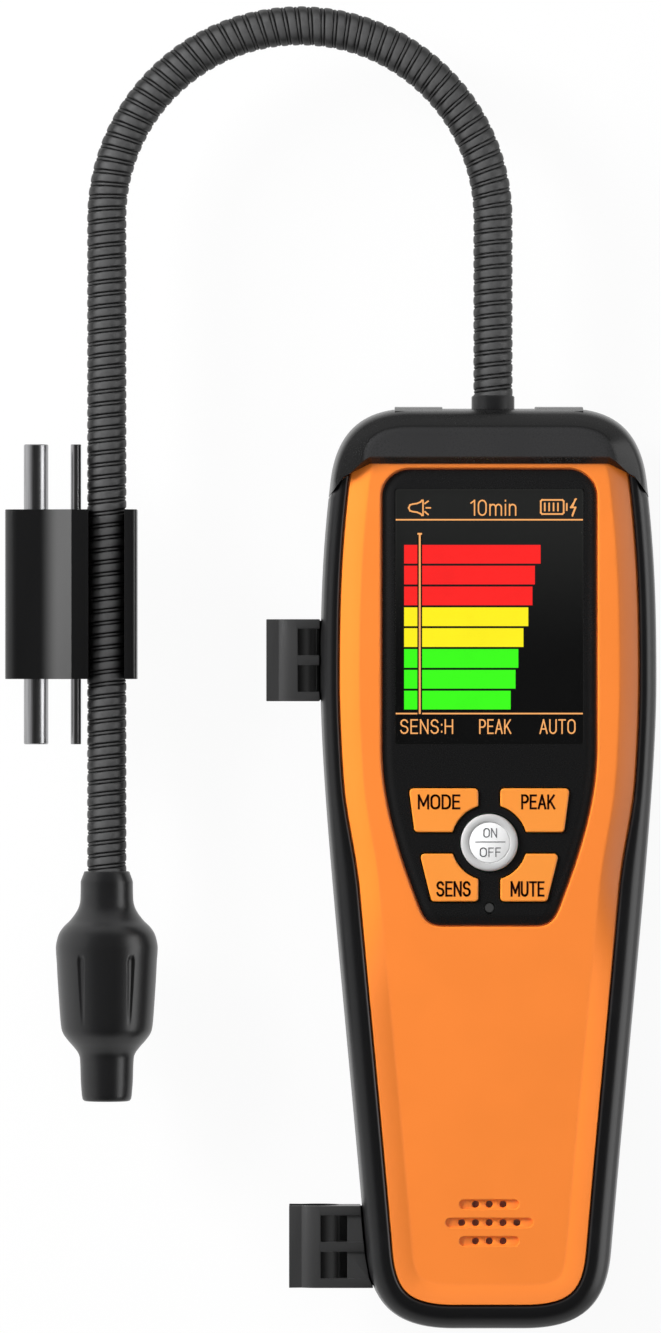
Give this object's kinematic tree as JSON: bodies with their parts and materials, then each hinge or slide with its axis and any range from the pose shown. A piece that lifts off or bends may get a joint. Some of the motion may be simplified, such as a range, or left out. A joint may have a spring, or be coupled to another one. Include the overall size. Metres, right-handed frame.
{
  "type": "refrigerant leak detector",
  "caption": "Hand-held leak detector with a screen and keys, a ribbed gooseneck looped back beside it, a capped sensor head, a sliding rod clip and hose clips.",
  "frame": {"origin": "middle of the flat back, which the detector lies on", "axes": "+Z out of the screen side, +Y along the housing towards the end the neck leaves, +X to the right as the screen is read"},
  "size_m": [0.1487, 0.3018, 0.0382],
  "materials": {
    "shell": "fine-grained orange ABS",
    "rear_plastic": "fine-grained black ABS",
    "soft_rim": "satin moulded rubber",
    "hood_plastic": "satin dark grey plastic",
    "panel": "smooth black panel",
    "window": "clear glossy window",
    "display": "dark display glass",
    "key": "satin orange key",
    "power": "satin white key",
    "lamp": "clear lamp lens",
    "board": "green lacquered board",
    "switch": "moulded switch body",
    "cell": "shrink-sleeved cell",
    "pump": "plated case",
    "tube": "soft tubing",
    "steel": "plated steel",
    "rod": "polished round bar",
    "collar": "black anodised, turned",
    "neck": "satin black spiral strip",
    "cap": "satin black moulding",
    "clip": "satin dark grey nylon",
    "felt": "pressed felt disc"
  },
  "bodies": {
    "housing": {"front_shell": "shell", "rear_shell": "rear_plastic", "side_bumper": "soft_rim", "top_hood": "hood_plastic", "fascia": "panel", "screen_lens": "window", "lcd_module": "display", "status_led": "lamp", "main_board": "board", "switch_mode": "switch", "switch_peak": "switch", "switch_sens": "switch", "switch_mute": "switch", "switch_power": "switch", "battery_cell": "cell", "suction_pump": "pump", "air_tube": "tube", "speaker": "pump", "charge_port": "steel", "neck_ferrule": "collar", "gooseneck": "neck", "probe_fitting": "collar", "sensor_element": "steel", "hose_clip_upper": "clip", "hose_clip_lower": "clip", "screw_upper_left": "steel", "screw_upper_right": "steel", "screw_lower_left": "steel", "screw_lower_right": "steel"},
    "mode_key": {"key_mode": "key"},
    "peak_key": {"key_peak": "key"},
    "sens_key": {"key_sens": "key"},
    "mute_key": {"key_mute": "key"},
    "power_button": {"power_key": "power"},
    "cap": {"sensor_cap": "cap", "inlet_filter": "felt"},
    "clip_block": {"probe_clip": "clip", "clip_rod_large": "rod", "clip_rod_small": "rod"}
  },
  "joints": [
    {"name": "mode_key_press", "type": "slide", "parent": "housing", "child": "mode_key", "axis": [0, 0, -1], "range_m": [0, 0.0006], "stiffness_N_per_m": 2000, "springref_m": -0.0003},
    {"name": "peak_key_press", "type": "slide", "parent": "housing", "child": "peak_key", "axis": [0, 0, -1], "range_m": [0, 0.0006], "stiffness_N_per_m": 2000, "springref_m": -0.0003},
    {"name": "sens_key_press", "type": "slide", "parent": "housing", "child": "sens_key", "axis": [0, 0, -1], "range_m": [0, 0.0006], "stiffness_N_per_m": 2000, "springref_m": -0.0003},
    {"name": "mute_key_press", "type": "slide", "parent": "housing", "child": "mute_key", "axis": [0, 0, -1], "range_m": [0, 0.0006], "stiffness_N_per_m": 2000, "springref_m": -0.0003},
    {"name": "power_key_press", "type": "slide", "parent": "housing", "child": "power_button", "axis": [0, 0, -1], "range_m": [0, 0.0006], "stiffness_N_per_m": 2000, "springref_m": -0.0003},
    {"name": "sensor_cap_pull", "type": "slide", "parent": "housing", "child": "cap", "axis": [0, -1, 0], "range_m": [0, 0.045]},
    {"name": "probe_clip_slide", "type": "slide", "parent": "housing", "child": "clip_block", "axis": [0, 1, 0], "range_m": [-0.028, 0.06]}
  ]
}
